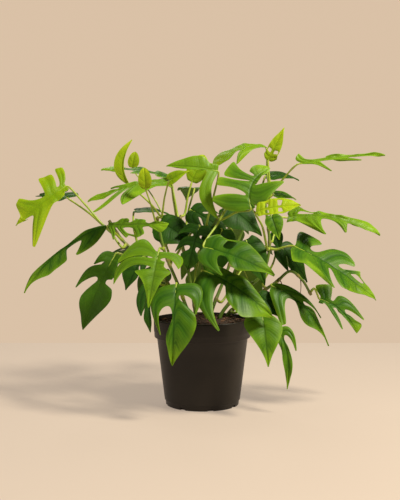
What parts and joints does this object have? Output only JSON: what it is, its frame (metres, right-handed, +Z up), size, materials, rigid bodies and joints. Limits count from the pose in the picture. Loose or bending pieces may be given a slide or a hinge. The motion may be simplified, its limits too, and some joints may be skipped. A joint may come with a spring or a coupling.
{
  "type": "potted mini monstera plant",
  "caption": "Bushy climbing aroid with deeply cut, pointed leaves on thin stalks and leaning vines, growing from bark mix in a plain round tapered nursery pot.",
  "frame": {"origin": "centre of the pot's flat underside, on the ground", "axes": "+Z up along the pot's axis, +X to the right along the widest spread of leaves, -Y towards the side the plant is seen from"},
  "size_m": [0.6244, 0.3812, 0.4663],
  "materials": {
    "pot": "satin",
    "soil": "matte",
    "vine": "matte",
    "leaf_mature": "satin",
    "leaf_shaded": "satin",
    "leaf_fresh": "satin"
  },
  "bodies": {
    "root": {"pot": "pot", "soil": "soil", "vine_left": "vine", "vine_mid_left": "vine", "vine_back": "vine", "vine_centre": "vine", "vine_right": "vine", "vine_low_right": "vine", "vine_rear_right": "vine", "leaf_far_left": "leaf_fresh", "leaf_far_left_rear": "leaf_shaded", "leaf_left_arch": "leaf_mature", "leaf_left_upright": "leaf_fresh", "leaf_left_bud": "leaf_fresh", "leaf_left_ledge_rear": "leaf_mature", "leaf_left_ledge": "leaf_mature", "leaf_left_young": "leaf_fresh", "leaf_left_folded": "leaf_fresh", "leaf_top_crescent": "leaf_mature", "leaf_top_lime": "leaf_fresh", "leaf_top_broad": "leaf_mature", "leaf_top_arch": "leaf_fresh", "leaf_top_spear": "leaf_fresh", "leaf_lime_windowed": "leaf_fresh", "leaf_right_strap": "leaf_mature", "leaf_right_shaded": "leaf_shaded", "leaf_right_behind": "leaf_mature", "leaf_right_ledge": "leaf_mature", "leaf_right_drop": "leaf_mature", "leaf_right_inner": "leaf_shaded", "leaf_right_broad": "leaf_mature", "leaf_right_under": "leaf_shaded", "leaf_right_low": "leaf_mature", "leaf_right_apron": "leaf_mature", "leaf_rim_glossy": "leaf_mature", "leaf_rim_tail": "leaf_mature", "leaf_rim_shaded": "leaf_shaded", "leaf_front_centre": "leaf_mature", "leaf_front_left": "leaf_mature", "leaf_mid_left": "leaf_mature", "leaf_left_broad": "leaf_shaded", "leaf_left_under": "leaf_shaded", "leaf_left_drop": "leaf_shaded", "leaf_left_shelf": "leaf_mature", "leaf_left_shelf_rear": "leaf_shaded", "leaf_centre_broad": "leaf_mature", "leaf_centre_shaded": "leaf_shaded", "leaf_inner_left": "leaf_shaded", "leaf_inner_mid": "leaf_shaded", "leaf_inner_right": "leaf_shaded", "leaf_inner_low": "leaf_shaded", "leaf_inner_front": "leaf_shaded", "leaf_back_top": "leaf_mature", "leaf_back_left": "leaf_mature", "leaf_back_right": "leaf_mature", "leaf_back_far_left": "leaf_shaded", "leaf_back_far_right": "leaf_shaded", "leaf_back_centre": "leaf_mature", "leaf_back_low_right": "leaf_mature", "leaf_back_low_left": "leaf_shaded"}
  },
  "joints": []
}
